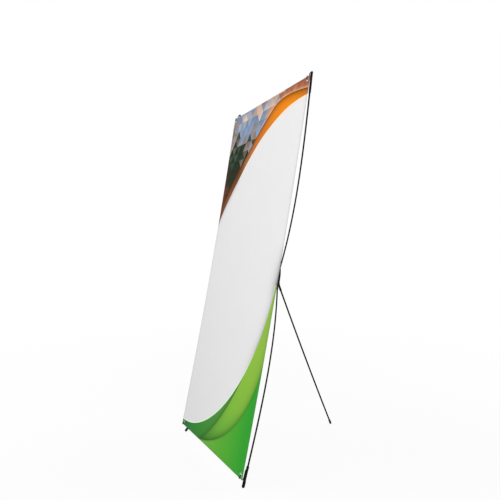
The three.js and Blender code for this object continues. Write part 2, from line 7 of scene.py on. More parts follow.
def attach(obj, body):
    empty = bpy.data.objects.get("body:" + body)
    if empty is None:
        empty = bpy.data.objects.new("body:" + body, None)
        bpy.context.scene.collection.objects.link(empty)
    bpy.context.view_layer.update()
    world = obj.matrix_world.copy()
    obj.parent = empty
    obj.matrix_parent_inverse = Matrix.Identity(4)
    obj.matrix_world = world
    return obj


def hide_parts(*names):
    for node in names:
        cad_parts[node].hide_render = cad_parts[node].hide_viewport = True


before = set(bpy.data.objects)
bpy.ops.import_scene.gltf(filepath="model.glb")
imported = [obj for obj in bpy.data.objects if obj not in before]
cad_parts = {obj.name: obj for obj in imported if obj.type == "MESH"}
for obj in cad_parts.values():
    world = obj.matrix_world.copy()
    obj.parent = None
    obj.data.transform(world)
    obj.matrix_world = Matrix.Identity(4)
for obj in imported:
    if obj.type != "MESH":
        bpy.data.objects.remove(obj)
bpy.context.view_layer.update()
print("frame loaded:", len(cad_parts), "nodes")

# Pieces are modelled in millimetres in the sheet's own frame: x across, y behind it, z up along it.
# Settling a piece turns that into the stand's frame in metres.
stand = {
    "lean": math.radians(11.17),
    "sheetToOrigin": 361.5,
    "sheetBottom": 38.6,
    "sides": {"Right": 1, "Left": -1},
}
metre = Matrix.Scale(0.001, 4)
leaning = (Matrix.Translation((0, -stand["sheetToOrigin"], stand["sheetBottom"]))
           @ Matrix.Rotation(-stand["lean"], 4, "X"))


# Shader nodes

def step(operation, turned=False):
    # a method that adds a Math node, with the value second if it is turned
    def add(self, other=0.0):
        pair = (other, self) if turned else (self, other)
        return self.tree.add("ShaderNodeMath", dict(enumerate(pair)), operation=operation)
    return add


class Value:
    # a number on a socket, whose operators add Math nodes
    __add__ = step("ADD")
    __sub__ = step("SUBTRACT")
    __rsub__ = step("SUBTRACT", True)
    __mul__ = step("MULTIPLY")
    __truediv__ = step("DIVIDE")
    __rtruediv__ = step("DIVIDE", True)
    __pow__ = step("POWER")
    __rpow__ = step("POWER", True)
    __gt__ = step("GREATER_THAN")
    __abs__ = step("ABSOLUTE")
    floor = step("FLOOR")
    fraction = step("FRACT")
    sine = step("SINE")
    atLeast = step("MAXIMUM")
    atMost = step("MINIMUM")

    def __init__(self, tree, socket):
        self.tree = tree
        self.socket = socket

    def __neg__(self):
        return 0.0 - self

    def clamped(self):
        return self.atLeast(0.0).atMost(1.0)

    def spanned(self, start, end, most=1.0):
        # 0 at the start and the most at the end
        return ((self - start) * (1.0 / (end - start))).clamped() * most

    def fading(self, reach):
        # 1 at zero, falling towards nothing over the reach
        return math.e ** (self.atLeast(0.0) * (-1.0 / reach))


class Tree:
    def __init__(self, owner):
        owner.use_nodes = True
        self.owner = owner
        self.nodes = owner.node_tree.nodes
        self.links = owner.node_tree.links
        self.nodes.clear()

    def add(self, kind, inputs=None, output=0, **settings):
        node = self.nodes.new(kind)
        for name, value in settings.items():
            setattr(node, name, value)
        for name, value in (inputs or {}).items():
            if isinstance(value, Value):
                self.links.new(value.socket, node.inputs[name])
            else:
                node.inputs[name].default_value = value
        return Value(self, node.outputs[output]) if node.outputs else node

    def split(self, vector):
        node = self.add("ShaderNodeSeparateXYZ", {0: vector}).socket.node
        return [Value(self, socket) for socket in node.outputs]

    def joined(self, x, y, z):
        return self.add("ShaderNodeCombineXYZ", {0: x, 1: y, 2: z})

    def mixed(self, factor, first, second, blend="MIX"):
        return self.add("ShaderNodeMix", {0: factor, 6: first, 7: second}, 2,
                        data_type="RGBA", blend_type=blend)

    def curve(self, value, places):
        curved = self.add("ShaderNodeFloatCurve", {1: value})
        mapping = curved.socket.node.mapping
        points = mapping.curves[0].points
        while len(points) < len(places):
            points.new(0.5, 0.5)
        for point, place in zip(points, places):
            point.location = place
        mapping.update()
        return curved

    def ramp(self, factor, stops):
        coloured = self.add("ShaderNodeValToRGB", {0: factor})
        elements = coloured.socket.node.color_ramp.elements
        while len(elements) < len(stops):
            elements.new(0.5)
        for element, (place, colour) in zip(elements, stops):
            element.position = place
            element.color = colour
        return coloured

    def noise(self, vector, scale, detail=3.0):
        return self.add("ShaderNodeTexNoise", {"Vector": vector, "Scale": scale, "Detail": detail})

    def summed(self, parts, *noises):
        # a level and what each noise adds to it
        total = parts[0]
        for noise, part in zip(noises, parts[1:]):
            total = noise * part + total
        return total

    def seen(self, *kinds):
        # 1 where one of these kinds of ray looks
        rays = self.add("ShaderNodeLightPath").socket.node.outputs
        level = Value(self, rays[kinds[0]])
        for kind in kinds[1:]:
            level = level.atLeast(Value(self, rays[kind]))
        return level

    def place(self, stretch=(1.0, 1.0, 1.0)):
        here = self.add("ShaderNodeTexCoord", None, 3)
        return self.add("ShaderNodeMapping", {"Vector": here, "Scale": stretch})

    def bump(self, height, strength, distance):
        return self.add("ShaderNodeBump", {"Height": height, "Strength": strength, "Distance": distance})

    def surface(self, inputs):
        shader = self.add("ShaderNodeBsdfPrincipled", inputs)
        self.add("ShaderNodeOutputMaterial", {"Surface": shader})
        return self.owner


def ink(red, green, blue):
    # a screen colour from 0 to 255 as the linear colour that the shaders take
    def linear(value):
        share = value / 255
        return share / 12.92 if share < 0.04045 else ((share + 0.055) / 1.055) ** 2.4
    return (linear(red), linear(green), linear(blue), 1.0)


def newTree(name):
    return Tree(bpy.data.materials.new(name))


# Finishes. A roughness is a level and what each noise adds to it, and a bump its strength and its
# distance in metres. The wear says where the worn colour starts, where it is whole and how much it shows.

def finished(tree, look, wear, relief, *noises):
    # the relief is what stands out of the surface
    return tree.surface({
        "Base Color": tree.mixed(wear, look["colour"], look["worn"]),
        "Roughness": tree.summed(look["roughness"], *noises),
        "Normal": tree.bump(relief, *look["bump"]),
        **look["shader"],
    })


def makeMouldedPlastic():
    look = {"colour": ink(13, 13, 14), "worn": ink(30, 30, 32), "wear": (0.56, 0.76, 0.5),
            "patches": 130, "grain": 1800, "roughness": (0.36, 0.16, 0.06), "bump": (0.16, 0.0001),
            "shader": {"Specular IOR Level": 0.12}}
    tree = newTree("mouldedPlastic")
    here = tree.place()
    patches = tree.noise(here, look["patches"])
    grain = tree.noise(here, look["grain"], 2.0)
    return finished(tree, look, patches.spanned(*look["wear"]), grain, patches, grain)


def makeRodCoat():
    look = {"colour": ink(9, 9, 10), "worn": ink(24, 24, 26), "wear": (0.5, 0.75, 0.5),
            "around": 40.0, "along": 9.0, "patches": 60, "roughness": (0.28, 0.12, 0.08),
            "bump": (0.12, 0.00008), "shader": {"Specular IOR Level": 0.07}}
    tree = newTree("glassFibreRod")
    along, around = tree.split(tree.add("ShaderNodeUVMap"))[:2]
    fibres = tree.noise(tree.joined(around * look["around"], along * look["along"], 0.0), 1.0, 4.0)
    patches = tree.noise(tree.place(), look["patches"])
    return finished(tree, look, fibres.spanned(*look["wear"]), fibres, fibres, patches)


def makeRubber():
    # dusty near the floor: the wear goes by the height in metres
    look = {"colour": ink(12, 12, 12), "worn": ink(44, 43, 41), "wear": (0.0122, 0.0011, 0.6),
            "patches": 160, "grain": 2600, "roughness": (0.62, 0.2), "bump": (0.25, 0.0001),
            "shader": {"Specular IOR Level": 0.1}}
    tree = newTree("rubber")
    here = tree.place()
    patches = tree.noise(here, look["patches"])
    grain = tree.noise(here, look["grain"], 2.0)
    dusty = tree.split(here)[2].spanned(*look["wear"]) * patches
    return finished(tree, look, dusty, grain, patches)


def makeSteel():
    look = {"colour": ink(196, 197, 200), "worn": ink(158, 160, 165), "wear": (0.214, 0.929),
            "brushed": (900, 900, 120), "patches": 240, "roughness": (0.24, 0.14, 0.08),
            "bump": (0.1, 0.00005), "shader": {"Metallic": 1.0}}
    tree = newTree("zincSteel")
    scratches = tree.noise(tree.place(look["brushed"]), 1.0, 4.0)
    patches = tree.noise(tree.place(), look["patches"])
    return finished(tree, look, patches.spanned(*look["wear"]), scratches, scratches, patches)


def makeClearPlastic():
    look = {"colour": ink(226, 226, 225), "worn": ink(208, 209, 207), "patches": 420, "rubs": 1500,
            "roughness": (0.1, 0.1, 0.06), "bump": (0.05, 0.00004),
            "shader": {"Specular IOR Level": 0.15, "Alpha": 0.18}}
    tree = newTree("clearPlastic")
    here = tree.place()
    cloud = tree.noise(here, look["patches"])
    rubs = tree.noise(here, look["rubs"], 2.0)
    return finished(tree, look, cloud, rubs, cloud, rubs)


# Print: a pale field between curved stripes, with a mosaic of facets above the upper stripe. All lengths
# are in millimetres on the sheet, across from its middle and up from its lower edge.
# An arc has its centre, its radii and its roundness. A shade has its reach from an edge, its strength and
# its colour. A span is where a thing starts and where it is whole.
darkGreen = ink(24, 80, 28)
printed = {
    "width": 600, "height": 1600, "edge": 0.8, "squareness": 0.8,
    "fieldTop": [
        (-300, 1040), (-271, 1097), (-214, 1182), (-160, 1249), (-105, 1317), (-63, 1363), (-22, 1402),
        (19, 1434), (60, 1459), (101, 1481), (140, 1498), (179, 1511), (218, 1518), (256, 1522), (300, 1523),
    ],
    "stripeTop": [
        (-300, 1120), (-230, 1222), (-161, 1312), (-117, 1361), (-76, 1407), (-36, 1451), (4, 1490),
        (44, 1524), (82, 1552), (112, 1563), (150, 1567), (187, 1567), (227, 1563), (267, 1557), (300, 1550),
    ],
    "fieldBottom": {"centre": (-296, 822), "radii": (591, 796), "roundness": 1.89},
    "crescent": {"centre": (-200, 901), "radii": (502, 934), "roundness": 1.7},
    "ribbon": {"centre": (-237, 587), "radii": (548, 597), "roundness": 2.24},
    "tipUp": 757,
    "fieldGreys": (ink(218, 218, 218), ink(232, 232, 232)),
    "fieldTone": {"across": 0.6, "rise": 0.5, "less": 0.06, "power": 0.8},
    "greenGlow": ink(226, 242, 222),
    "glowWidth": 5.0,
    "orangeAlong": [
        (0.0, ink(108, 66, 43)), (0.1, ink(128, 80, 49)), (0.2, ink(105, 69, 40)),
        (0.26, ink(116, 80, 48)), (0.31, ink(160, 110, 74)), (0.42, ink(196, 115, 54)),
        (0.5, ink(208, 118, 44)), (0.6, ink(222, 129, 37)), (0.74, ink(242, 137, 21)),
        (0.86, ink(240, 140, 22)), (1.0, ink(214, 126, 44)),
    ],
    "crescentAlong": [
        (0.0, ink(44, 116, 60)), (0.35, ink(60, 138, 52)), (0.6, ink(84, 146, 64)),
        (1.0, ink(92, 148, 68)),
    ],
    "ribbonAlong": [
        (0.0, ink(72, 134, 54)), (0.14, ink(108, 172, 62)), (0.3, ink(128, 184, 64)),
        (0.6, ink(141, 186, 68)), (1.0, ink(146, 188, 78)),
    ],
    "meadowAlong": [
        (0.0, ink(108, 174, 72)), (0.4, ink(94, 171, 54)), (0.7, ink(78, 167, 53)),
        (1.0, ink(52, 158, 50)),
    ],
    "spans": {
        "besideFrom": (330, 490), "besideTo": (790, 700), "curlShadowFrom": (690, 750), "curlShadowTo": (930, 760),
        "belowOrange": (1290, 1190), "orangeRim": (-60, 20), "crescent": (-278, 267), "ribbon": (0, 760),
        "fold": (520, 0), "tuck": (330, 0), "meadow": (-60, 270),
    },
    "foldShade": {"least": 0.32, "more": 0.45},
    "shades": {
        "besideGreen": (16, 0.42, ink(96, 104, 92)), "curl": (18, 0.95, ink(97, 99, 94)),
        "belowOrange": (12, 0.6, ink(124, 94, 78)), "orangeGlow": (5, 1.0, ink(255, 222, 176)),
        "underMosaic": (13, 0.95, ink(92, 38, 2)), "orangeRim": (5, 0.8, ink(243, 194, 148)),
        "crescentEdge": (15, 0.55, darkGreen), "ribbonFold": (14, 1.0, darkGreen),
        "ribbonTuck": (12, 0.6, darkGreen), "meadowEdge": (4, 0.35, darkGreen),
        "sheetEdge": (4.5, 0.34, ink(96, 98, 94)),
    },
}
facets = {
    "size": 46, "bottom": 1000, "high": 600, "rising": 0.76, "crossing": 0.27, "scatter": 0.2,
    "tilt": 0.16, "level": 0.98,
    "colours": [
        (0.0, ink(72, 45, 30)), (0.16, ink(104, 66, 44)), (0.3, ink(66, 46, 32)),
        (0.4, ink(38, 46, 32)), (0.5, ink(34, 50, 35)), (0.57, ink(66, 78, 66)),
        (0.64, ink(158, 134, 124)), (0.71, ink(118, 142, 172)), (0.79, ink(130, 150, 176)),
        (0.87, ink(206, 184, 168)), (0.94, ink(170, 104, 72)), (1.0, ink(150, 84, 60)),
    ],
}


def arcPlace(x, up, arc):
    # how far outside the arc a point is, measured from the arc's centre
    across = abs(x - arc["centre"][0])
    fall = (arc["centre"][1] - up).atLeast(0.0)
    power = arc["roundness"]
    share = ((across / arc["radii"][0]) ** power + (fall / arc["radii"][1]) ** power) ** (1.0 / power)
    reach = (across * across + fall * fall) ** 0.5
    return (1.0 - 1.0 / share.atLeast(0.01)) * reach


def linePlace(tree, x, up, line):
    # how far above a line a point is, nearly square to the line
    wide, high = printed["width"], printed["height"]
    places = [(across / wide + 0.5, rise / high) for across, rise in line]
    return (up - tree.curve(x / wide + 0.5, places) * high) * printed["squareness"]


def past(distance):
    # 0 before an edge and 1 past it, with the print's own edge between
    return (distance / printed["edge"] + 0.5).clamped()


def shaded(tree, colour, distance, name, where=1.0):
    # lays a shade over a colour, fading out with the distance from an edge
    reach, strength, shade = printed["shades"][name]
    return tree.mixed(distance.fading(reach) * (where * strength), colour, shade)


def makeFacets(tree, x, up):
    # triangles in rows, each of one colour, which goes by its place and by chance
    size = facets["size"]
    slope = up / (size * math.sqrt(3))
    first = x / size - slope
    second = slope * 2.0
    half = (first.fraction() + second.fraction()) > 1.0
    cell = tree.joined(first.floor(), second.floor(), half)
    chance = tree.add("ShaderNodeTexWhiteNoise", {"Vector": cell}) - 0.5
    third = (half + 1.0) / 3.0
    row = second.floor() + third
    column = first.floor() + third + row * 0.5
    rising = (row * (size * math.sqrt(3) / 2) - facets["bottom"]) / facets["high"]
    crossing = column * size / printed["width"] + 0.5
    tone = rising * facets["rising"] + crossing * facets["crossing"] + chance * facets["scatter"]
    light = ((first.fraction() - second.fraction()) * facets["tilt"] + chance * facets["scatter"]
             + facets["level"])
    colour = tree.ramp(tone.clamped(), facets["colours"])
    return tree.mixed(1.0, colour, tree.joined(light, light, light), "MULTIPLY")


def printColour(tree, x, up):
    topPlace = linePlace(tree, x, up, printed["fieldTop"])
    stripePlace = linePlace(tree, x, up, printed["stripeTop"])
    bottomPlace = arcPlace(x, up, printed["fieldBottom"])
    crescentPlace = arcPlace(x, up, printed["crescent"])
    ribbonPlace = arcPlace(x, up, printed["ribbon"])
    across = x / printed["width"] + 0.5
    spans = printed["spans"]

    tone = printed["fieldTone"]
    level = across * tone["across"] + up / printed["height"] * tone["rise"] - tone["less"]
    field = tree.mixed(level.clamped() ** tone["power"], *printed["fieldGreys"])
    beside = up.spanned(*spans["besideFrom"]) * up.spanned(*spans["besideTo"])
    field = shaded(tree, field, -bottomPlace, "besideGreen", beside)
    # painted shadow on the field along the sheet's right edge above the green's tip, standing in for the
    # shadow of a curl in the edge that the sheet's mesh does not have
    curl = up.spanned(*spans["curlShadowFrom"]) * up.spanned(*spans["curlShadowTo"])
    field = shaded(tree, field, printed["width"] / 2 - x, "curl", curl)
    below = up.spanned(*spans["belowOrange"])
    field = shaded(tree, field, -topPlace, "belowOrange", below)
    field = shaded(tree, field, -topPlace, "orangeGlow", 1.0 - below)
    underTip = (printed["tipUp"] - up) > 0.0
    pale = (1.0 - beside) * past(bottomPlace + printed["glowWidth"]) * underTip
    field = tree.mixed(pale, field, printed["greenGlow"])

    orange = tree.ramp(across, printed["orangeAlong"])
    orange = shaded(tree, orange, -stripePlace, "underMosaic")
    mosaic = shaded(tree, makeFacets(tree, x, up), stripePlace, "orangeRim", x.spanned(*spans["orangeRim"]))
    top = tree.mixed(past(stripePlace), orange, mosaic)

    crescent = tree.ramp(x.spanned(*spans["crescent"]), printed["crescentAlong"])
    crescent = shaded(tree, crescent, -crescentPlace, "crescentEdge")
    ribbon = tree.ramp(up.spanned(*spans["ribbon"]), printed["ribbonAlong"])
    fold = up.spanned(*spans["fold"]) * printed["foldShade"]["more"] + printed["foldShade"]["least"]
    ribbon = shaded(tree, ribbon, -ribbonPlace, "ribbonFold", fold)
    ribbon = shaded(tree, ribbon, crescentPlace, "ribbonTuck", up.spanned(*spans["tuck"]))
    meadow = tree.ramp(x.spanned(*spans["meadow"]), printed["meadowAlong"])
    meadow = shaded(tree, meadow, ribbonPlace, "meadowEdge")
    bottom = tree.mixed(past(crescentPlace), crescent, ribbon)
    bottom = tree.mixed(past(ribbonPlace), bottom, meadow)
    lower = tree.mixed(past(bottomPlace) * underTip, field, bottom)
    colour = tree.mixed(past(topPlace), lower, top)
    inward = (printed["width"] / 2 - abs(x)).atMost(up).atMost(printed["height"] - up)
    return shaded(tree, colour, inward, "sheetEdge")


def makePrint(name, shown):
    # shown is how much of the print reaches this face: all in front, a trace behind
    look = {"film": ink(228, 228, 227), "cloud": 9, "cloudTint": 0.024, "grain": 900,
            "roughness": (0.44, 0.1, 0.05), "bump": (0.06, 0.00006)}
    tree = newTree(name)
    u, v = tree.split(tree.add("ShaderNodeUVMap"))[:2]
    x = (u - 0.5) * printed["width"]
    up = v * printed["height"]
    cloud = tree.noise(tree.place(), look["cloud"], 4.0)
    grain = tree.noise(tree.place(), look["grain"], 2.0)
    colour = tree.mixed(shown, look["film"], printColour(tree, x, up))
    tint = (cloud - 0.5) * look["cloudTint"] + 1.0
    weave = (x * math.tau).sine() * (up * math.tau).sine()  # the film's scrim, a thread to a millimetre
    return tree.surface({
        "Base Color": tree.mixed(1.0, colour, tree.joined(tint, tint, tint), "MULTIPLY"),
        "Roughness": tree.summed(look["roughness"], cloud, grain),
        "Specular IOR Level": 0.015,
        "Normal": tree.bump((weave + grain) * 0.5, *look["bump"]),
    })


# each finish has its slot name and its material
finishes = {
    "plastic": ("black_plastic", makeMouldedPlastic()),
    "rod": ("black_rod", makeRodCoat()),
    "rubber": ("rubber", makeRubber()),
    "steel": ("steel", makeSteel()),
    "clear": ("eyelet", makeClearPlastic()),
    "print": ("printed_sheet", makePrint("printFront", 1.0)),
}
printBack = makePrint("printBack", 0.05)
print("finishes made:", len(finishes) + 1)


# Modelling steps

def deselectAll():
    bpy.ops.object.select_all(action="DESELECT")


def leaveEdit():
    bpy.ops.object.mode_set(mode="OBJECT")


def focus(piece):
    deselectAll()
    piece.select_set(True)
    bpy.context.view_layer.objects.active = piece
    return piece


def applied(piece):
    focus(piece)
    bpy.ops.object.transform_apply(location=True, rotation=True, scale=True)
    return piece


def modify(piece, kind, **settings):
    focus(piece)
    modifier = piece.modifiers.new(kind.lower(), kind)
    for name, value in settings.items():
        setattr(modifier, name, value)
    bpy.ops.object.modifier_apply(modifier=modifier.name)
    return piece


def combine(piece, operation, *tools):
    for tool in tools:
        modify(piece, "BOOLEAN", operation=operation, object=tool, solver="EXACT")
        bpy.data.objects.remove(tool)
    return piece


def union(piece, *others):
    return combine(piece, "UNION", *others)


def cutOut(piece, *tools):
    return combine(piece, "DIFFERENCE", *tools)


def choose(piece, kind, test):
    # selects vertices, edges or faces by their place and direction, and stays in edit mode
    focus(piece)
    bpy.ops.object.mode_set(mode="EDIT")
    bpy.ops.mesh.select_mode(type=kind)
    bpy.ops.mesh.select_all(action="DESELECT")
    leaveEdit()
    mesh = piece.data
    if kind == "VERT":
        for vertex in mesh.vertices:
            vertex.select = test(vertex.co)
    elif kind == "EDGE":
        for edge in mesh.edges:
            start, end = (mesh.vertices[i].co for i in edge.vertices)
            edge.select = test((start + end) / 2, (end - start).normalized())
    else:
        for face in mesh.polygons:
            face.select = test(face.center, face.normal)
    bpy.ops.object.mode_set(mode="EDIT")


def tidyMesh(piece):
    focus(piece)
    bpy.ops.object.mode_set(mode="EDIT")
    bpy.ops.mesh.select_all(action="SELECT")
    bpy.ops.mesh.remove_doubles(threshold=0.001)
    bpy.ops.mesh.normals_make_consistent(inside=False)
    leaveEdit()
    return piece


def box(low, high):
    centre = [(a + b) / 2 for a, b in zip(low, high)]
    size = [b - a for a, b in zip(low, high)]
    deselectAll()
    bpy.ops.mesh.primitive_cube_add(size=1, location=centre, scale=size)
    return applied(bpy.context.object)


def bar(radius, long, middle, turn=(0, 0, 0), sides=48):
    # a plain bar about its middle, along Z unless it is turned
    deselectAll()
    bpy.ops.mesh.primitive_cylinder_add(vertices=sides, radius=radius, depth=long,
                                        location=middle, rotation=turn)
    return applied(bpy.context.object)


def cylinder(radius, x, front, rear, up, sides=48):
    # a round bar square to the sheet
    return bar(radius, rear - front, (x, (front + rear) / 2, up), (math.pi / 2, 0, 0), sides)


def crossBar(radius, left, right, sides=48, behind=0, up=0):
    # a round bar along X
    return bar(radius, right - left, ((left + right) / 2, behind, up), (0, math.pi / 2, 0), sides)


def lathe(profile, steps=48):
    # spins a profile of (radius, height) points about the Z axis
    deselectAll()
    bpy.ops.mesh.primitive_plane_add(size=1)
    piece = bpy.context.object
    bpy.ops.object.mode_set(mode="EDIT")
    bpy.ops.mesh.merge(type="CENTER")
    last = profile[0]
    bpy.ops.transform.translate(value=(last[0], 0, last[1]))
    for radius, height in profile[1:]:
        bpy.ops.mesh.extrude_region_move(
            TRANSFORM_OT_translate={"value": (radius - last[0], 0, height - last[1])})
        last = (radius, height)
    bpy.ops.mesh.select_all(action="SELECT")
    bpy.ops.mesh.spin(steps=steps, angle=math.tau, center=(0, 0, 0), axis=(0, 0, 1))
    leaveEdit()
    return tidyMesh(piece)


def arcPoints(centre, radius, start, end, steps):
    # points of a (radius, height) profile along an arc, in degrees
    points = []
    for i in range(steps + 1):
        angle = math.radians(start + (end - start) * i / steps)
        points.append((centre[0] + radius * math.cos(angle), centre[1] + radius * math.sin(angle)))
    return points


def sweep(points, radii, sides, curved=False):
    # a round bar through the points, as thick at each as the radii say
    deselectAll()
    bpy.ops.curve.primitive_nurbs_path_add()
    path = bpy.context.object
    path.data.splines.clear()
    spline = path.data.splines.new("BEZIER" if curved else "POLY")
    places = spline.bezier_points if curved else spline.points
    places.add(len(points) - 1)
    for place, point, radius in zip(places, points, radii):
        place.co = point if curved else (*point, 1)
        place.radius = radius
        if curved:
            place.handle_left_type = "AUTO"
            place.handle_right_type = "AUTO"
    path.data.resolution_u = 6
    path.data.bevel_depth = 1
    path.data.bevel_resolution = (sides - 4) // 2
    path.data.use_fill_caps = True
    focus(path)
    bpy.ops.object.convert(target="MESH")
    return tidyMesh(bpy.context.object)


def stretch(pointAt, start, end, steps):
    # points of a line between two distances along it
    return [pointAt(start + (end - start) * i / steps) for i in range(steps + 1)]


def turnedAlong(pointAt, stops):
    # a turned body on a line, from stops of distance and radius
    return sweep([pointAt(distance) for distance, _ in stops], [radius for _, radius in stops], 40)


def ball(radius, place, sides):
    deselectAll()
    bpy.ops.mesh.primitive_uv_sphere_add(
        segments=sides, ring_count=sides // 2, radius=radius, location=place)
    return applied(bpy.context.object)


def soften(piece, width):
    return modify(piece, "BEVEL", width=width, segments=2, limit_method="ANGLE",
                  angle_limit=math.radians(40), use_clamp_overlap=True, harden_normals=False)


def turnTo(direction, origin):
    # carries the Z axis to a direction at an origin, the shortest way round
    turn = Vector((0, 0, 1)).rotation_difference(direction)
    return Matrix.Translation(origin) @ turn.to_matrix().to_4x4()


def nodeOf(name):
    # "hubPlate" stands for the frame's node "hub_plate"; the bodies are named in the same way
    return "".join("_" + letter.lower() if letter.isupper() else letter for letter in name)


def settle(piece, name, body, finish, upright=False, smooth=32):
    # gives a finished piece its place, its body and its finish; it stands for the node of its name
    slot, material = finishes[finish]
    piece.data.transform(metre if upright else metre @ leaning)
    piece.name = name
    piece.data.name = name
    focus(piece)
    bpy.ops.object.shade_smooth_by_angle(angle=math.radians(smooth))
    piece.data.materials.clear()
    piece.data.materials.append(material)
    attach(piece, body)
    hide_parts(nodeOf(name))
    return piece


# Arms: each bowed rod runs from its pivot in the hub to its tip at the sheet's corner
arms = {
    "upper": {"pivot": Vector((12, 209, 809)), "tip": Vector((285, 15, 1621)),
              "bow": math.radians(78.3), "rod": 3.5, "rodShort": 8.3},
    "lower": {"pivot": Vector((9, 218.6, 781)), "tip": Vector((285.2, 20, -30.9)),
              "bow": math.radians(78.8), "rod": 3.5, "rodShort": 14.3},
}


def armLength(arm):
    run = arm["tip"] - arm["pivot"]
    return math.hypot(run.x, run.z)


def armLine(arm, side):
    # the arm's bowed middle line: a place for each distance from the pivot
    def pointAt(distance):
        share = distance / armLength(arm)
        bow = math.sin(arm["bow"] * (1 - share)) / math.sin(arm["bow"])
        flat = arm["pivot"].lerp(arm["tip"], share)
        behind = arm["tip"].y + (arm["pivot"].y - arm["tip"].y) * bow
        return Vector((side * flat.x, behind, flat.z))
    return pointAt


def settleOnArm(piece, name, level, sideName, finish, **settings):
    return settle(piece, name + sideName, nodeOf(f"{level}Rod{sideName}"), finish, **settings)


# Sheet
sheet = {
    "width": printed["width"], "height": printed["height"], "thickness": 0.6, "sag": 9.5, "flatEnd": 30,
    "across": 100, "along": 266, "hole": 4.7, "holeSides": 32, "holeReach": 5, "eyeletInset": 15,
    "edgeDraw": 0.8, "wrinkle": 0.22, "wrinkleReach": 75, "wrinkles": 14, "wrinkleTurn": 0.7,
}
corners = {
    f"{level}{side}": (sign * (sheet["width"] / 2 - sheet["eyeletInset"]), up)
    for side, sign in stand["sides"].items()
    for level, up in (("Lower", sheet["eyeletInset"]),
                      ("Upper", sheet["height"] - sheet["eyeletInset"]))
}


def sheetBehind(x, up):
    # the sag between the eyelets, with faint pulls that fan out from each eyelet
    ends = sheet["flatEnd"]
    share = min(1, max(0, (up - ends) / (sheet["height"] - 2 * ends)))
    behind = 4 * sheet["sag"] * share * (1 - share)
    for cornerX, cornerUp in corners.values():
        reach = math.hypot(x - cornerX, up - cornerUp) / sheet["wrinkleReach"]
        angle = math.atan2(up - cornerUp, x - cornerX)
        swell = reach ** 2 * math.exp(1 - reach ** 2)
        behind += sheet["wrinkle"] * swell * math.sin(sheet["wrinkles"] * angle + sheet["wrinkleTurn"])
    return behind


def makeSheet():
    deselectAll()
    bpy.ops.mesh.primitive_grid_add(
        x_subdivisions=sheet["across"], y_subdivisions=sheet["along"], size=1)
    piece = bpy.context.object
    for vertex in piece.data.vertices:
        across = vertex.co.x * 2
        along = vertex.co.y * 2
        drawX = sheet["edgeDraw"] * across * (1 - along ** 2)
        drawUp = sheet["edgeDraw"] * along * (1 - across ** 2)
        x = vertex.co.x * sheet["width"] - drawX
        up = (vertex.co.y + 0.5) * sheet["height"] - drawUp
        vertex.co = (x, sheetBehind(x, up), up)
    modify(piece, "SOLIDIFY", thickness=sheet["thickness"], offset=0, use_even_offset=True)
    reach = sheet["holeReach"]
    for x, up in corners.values():
        cutOut(piece, cylinder(sheet["hole"], x, -reach, reach, up, sheet["holeSides"]))
    settle(piece, "bannerSheet", "banner", "print", smooth=40)
    piece.data.materials.append(printBack)
    for face in piece.data.polygons:
        face.material_index = 1 if face.normal.y > 0.5 else 0
    return piece


eyelet = {
    "hole": 3.9, "barrel": 4.4, "flange": 9.5, "height": 1.1, "washer": 9, "washerHeight": 0.8,
    "face": 0.35, "steps": 64, "topSteps": 12, "topPower": 0.8, "topOverlap": 0.25, "lip": 0.95,
    "washerGap": 0.1, "washerRound": 0.5,
}


def makeEyelet(corner, place):
    # a round-topped flange in front, a barrel through the sheet and a lip behind the washer
    face, barrel, hole, lip = eyelet["face"], eyelet["barrel"], eyelet["hole"], eyelet["lip"]
    rear = face + eyelet["washerHeight"] + 0.25
    half, overlap = (eyelet["flange"] - barrel) / 2, eyelet["topOverlap"]
    profile = [(barrel, face), (eyelet["flange"] - 0.1, face)]
    for i in range(1, eyelet["topSteps"]):
        turn = math.pi * i / eyelet["topSteps"]
        profile.append((barrel - overlap + half + math.cos(turn) * (half + overlap),
                        face + math.sin(turn) ** eyelet["topPower"] * eyelet["height"]))
    profile += [(hole, face + 0.1), (hole, -rear + 0.35), (hole + 0.2, -rear),
                (barrel + lip - 0.2, -rear - 0.05), (barrel + lip, -rear + 0.2),
                (barrel, -rear + 0.3), (barrel, face)]
    return settleEyelet(lathe(profile, eyelet["steps"]), "eyelet" + corner, place, 1)


def makeWasher(corner, place):
    face, high, edge = eyelet["face"], eyelet["washerHeight"], eyelet["washerRound"]
    inner, outer = eyelet["barrel"] + eyelet["washerGap"], eyelet["washer"]
    profile = [(inner, face), (outer, face), (outer, face + 0.15)]
    profile += arcPoints((outer - edge - 0.05, face + 0.2), edge, 10, 90, 5)
    profile += [(inner + 0.5, face + high), (inner, face + high - 0.25), (inner, face)]
    return settleEyelet(lathe(profile, eyelet["steps"]), "eyeletWasher" + corner, place, -1)


def settleEyelet(piece, name, place, facing):
    # turns a piece made along Z to the front (1) or to the rear (-1) of the sheet
    x, up = place
    piece.data.transform(Matrix.Translation((x, 0, up)) @ Matrix.Rotation(facing * math.pi / 2, 4, "X"))
    return settle(piece, name, "banner", "clear")


sheetPiece = makeSheet()
for corner, place in corners.items():
    makeEyelet(corner, place)
    makeWasher(corner, place)


# Rods, and the holes that their ends go into
rodLook = {"steps": 72, "legSteps": 40, "sides": 24, "start": 15.5, "play": 0.12, "holeSides": 32}


def rodAlong(pointAt, radius, end, steps):
    points = stretch(pointAt, rodLook["start"], end, steps)
    return sweep(points, [radius] * len(points), rodLook["sides"])


def rodHole(pointAt, radius, start, end, steps):
    points = stretch(pointAt, start, end, steps)
    return sweep(points, [radius + rodLook["play"]] * len(points), rodLook["holeSides"])


def makeRod(level, sideName, side):
    arm = arms[level]
    end = armLength(arm) - arm["rodShort"]
    piece = rodAlong(armLine(arm, side), arm["rod"], end, rodLook["steps"])
    return settleOnArm(piece, "rod" + level.title(), level, sideName, "rod")


# Knuckles: a flat tongue round the pivot screw, a square neck and a ringed socket
knuckle = {
    "tongue": 6.5, "thickness": 7.5, "socket": 4.6, "socketStart": 13, "socketEnd": 30, "neckOverlap": 3,
    "ring": 4.95, "screwHole": 2.3, "holeReach": 5, "rounding": 0.35,
}


